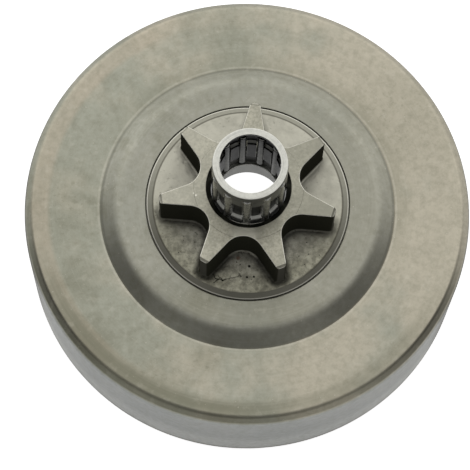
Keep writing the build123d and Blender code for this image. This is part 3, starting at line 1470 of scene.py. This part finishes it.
@dataclass
class Studio:
    """White floor and a soft light tent that is bright overhead and behind, and dim in front."""

    floor_half: float = 3.0
    floor_drop: float = 0.00002
    drum_radius: float = 43.0
    seen_glow: float = 0.82
    mirrored_glow: float = 0.28
    under_seen: float = 1.0
    under_mirrored: float = 0.5
    tent: float = 1.0
    side: float = 0.70
    front: float = 0.16
    behind: float = 0.45
    left: float = 0.42
    right: float = 0.22

    def build(self) -> None:
        """Makes the floor and the world."""
        self.floor()
        self.world()

    def floor(self) -> None:
        """Makes the floor, which is white to the camera and through the bore, and keeps a faint shadow."""
        half = self.floor_half
        mesh = bpy.data.meshes.new("floor")
        corners = [(-half, -half), (half, -half), (half, half), (-half, half)]
        mesh.from_pydata([(x, y, -self.floor_drop) for x, y in corners], [], [(0, 1, 2, 3)])
        plane = bpy.data.objects.new("floor", mesh)
        bpy.context.scene.collection.objects.link(plane)
        material = bpy.data.materials.new("floor_white")
        material.use_nodes = True
        material.node_tree.nodes.clear()
        kit = ShaderKit(material.node_tree)
        paths = kit.node("ShaderNodeLightPath").outputs
        at = SteelCoordinates(kit)
        under = at.span(at.radius, self.drum_radius - 1, self.drum_radius, 1.0, 0.0)
        glows = []
        for seen, mirrored in ((self.seen_glow, self.mirrored_glow), (self.under_seen, self.under_mirrored)):
            lit = kit.times(paths["Is Camera Ray"], seen)
            glows.append(kit.math("ADD", lit, kit.times(paths["Is Glossy Ray"], mirrored)))
        strength = kit.math("MAXIMUM", glows[0], kit.times(under, glows[1]))
        matt = kit.node("ShaderNodeBsdfDiffuse", Color=(0.8, 0.8, 0.8, 1))
        glow = kit.node("ShaderNodeEmission", Color=(1, 1, 1, 1), Strength=strength)
        both = kit.node("ShaderNodeAddShader")
        kit.feed(both.inputs[0], matt.outputs[0])
        kit.feed(both.inputs[1], glow.outputs[0])
        output = kit.node("ShaderNodeOutputMaterial")
        kit.feed(output.inputs["Surface"], both.outputs[0])
        mesh.materials.append(material)

    def world(self) -> None:
        """Makes the light tent as a smooth sky of its own."""
        world = bpy.data.worlds.new("light_tent")
        bpy.context.scene.world = world
        world.use_nodes = True
        world.node_tree.nodes.clear()
        kit = ShaderKit(world.node_tree)
        way = kit.node("ShaderNodeTexCoord").outputs["Generated"]
        x, y, z = kit.node("ShaderNodeSeparateXYZ", Vector=way).outputs
        height = kit.step(z, 0.30, 0.85, self.side, self.tent)
        behind = kit.step(y, 0.45, 0.95, 0.0, self.behind)
        left, right = kit.step(x, -0.15, -0.60, 0.0, self.left), kit.step(x, 0.15, 0.60, 0.0, self.right)
        sides = kit.times(kit.math("MAXIMUM", left, right), kit.step(y, 0.05, 0.40), kit.step(y, 0.88, 0.68))
        light = kit.math("ADD", kit.math("ADD", height, behind), sides)
        aside = kit.math("ABSOLUTE", x)
        facing = kit.times(kit.step(y, 0.08, -0.44), kit.step(z, 0.20, 0.52, 0.12, 1.0))
        facing = kit.times(facing, kit.step(aside, 0.10, 0.50, 1.0, 0.74))
        turn = kit.math("ARCTAN2", aside, kit.times(y, -1.0))
        flank = kit.times(kit.step(turn, 0.68, 0.96), kit.step(turn, 2.18, 1.38))
        flank = kit.times(flank, kit.step(z, 0.92, 0.76), kit.step(z, 0.15, 0.40, 0.3, 1.0))
        dim = kit.times(kit.math("MAXIMUM", facing, flank), 1.0 - self.front)
        light = kit.times(light, kit.rest(dim))
        glow = kit.node("ShaderNodeBackground", Color=(1.0, 0.995, 0.985, 1), Strength=light)
        output = kit.node("ShaderNodeOutputWorld")
        kit.feed(output.inputs["Surface"], glow.outputs[0])


@dataclass
class PhotoCamera:
    """The photograph's view: long lens, steep, tipped a little to the right."""

    aim: tuple[float, float, float] = (0.0, 0.0, 22.6)
    distance: float = 450.0
    elevation_deg: float = 71.64
    azimuth_deg: float = 0.66
    roll_deg: float = -3.88
    focal_px: float = 2233.4
    aim_px: Point = (247.45, 205.85)
    clip: Point = (0.01, 20.0)

    def build(self) -> Piece:
        """Makes the camera and gives it to the scene.

        Returns:
            The camera.
        """
        tilt, turn, roll = (math.radians(a) for a in (self.elevation_deg, self.azimuth_deg, self.roll_deg))
        back = Vector((math.sin(turn) * math.cos(tilt), -math.cos(turn) * math.cos(tilt), math.sin(tilt)))
        level = Vector((math.cos(turn), math.sin(turn), 0))
        rise = back.cross(level)
        right = level * math.cos(roll) - rise * math.sin(roll)
        up = level * math.sin(roll) + rise * math.cos(roll)
        off_x = (self.aim_px[0] - IMAGE_PX / 2) / self.focal_px
        off_y = (IMAGE_PX / 2 - self.aim_px[1]) / self.focal_px
        ahead = (-back - right * off_x - up * off_y).normalized()
        right = (right - ahead * right.dot(ahead)).normalized()
        up = right.cross(ahead)
        lens = bpy.data.cameras.new("photo_camera")
        lens.sensor_width = SENSOR_MM
        lens.lens = self.focal_px * SENSOR_MM / IMAGE_PX
        lens.clip_start, lens.clip_end = self.clip
        camera = bpy.data.objects.new("photo_camera", lens)
        bpy.context.scene.collection.objects.link(camera)
        place = (Vector(self.aim) + back * self.distance) * MM
        turned = Matrix((right, up, -ahead)).transposed().to_4x4()
        camera.matrix_world = Matrix.Translation(place) @ turned
        bpy.context.scene.camera = camera
        return camera


def main() -> None:
    """Builds the stage and the pieces, and reports each piece."""
    logging.basicConfig(level=logging.INFO, format="%(message)s")
    bpy.context.scene.view_settings.view_transform = "Standard"
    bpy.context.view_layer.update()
    Studio().build()
    PhotoCamera().build()
    # Each finish's third colour is painted shade for sides that face the axis
    cage = BearingFinish(
        "cage_steel_gunmetal", srgb(212, 212, 204), srgb(116, 117, 115), srgb(23, 23, 21),
        roughness=0.34, grain_mm=0.6, oil=0.7, waist_mm=6.55,
    )
    roller = BearingFinish(
        "roller_steel_ground", srgb(150, 150, 146), srgb(188, 188, 183), srgb(84, 84, 80),
        roughness=0.28, grain_mm=1.5,
    )
    # Bright steel for the cage's edges: partly wear, partly a painted glint
    worn = BearingFinish(
        "cage_steel_worn_glint", srgb(222, 222, 216), srgb(215, 215, 208), srgb(150, 150, 146),
        roughness=0.3, grain_mm=0.5,
    )
    made = [DrumBell().build(DrumFinish().build()), SpurSprocket().build(SprocketFinish().build())]
    made.append(FlangeGrit().build(DirtFinish().build()))
    made.append(BearingCage().build(cage.build(), worn.build()))
    made.extend(NeedleRollers().build(roller.build()))
    for piece in made:
        log.info("piece %s: %d faces", piece.name, len(piece.data.polygons))


if __name__ == "__main__":
    main()
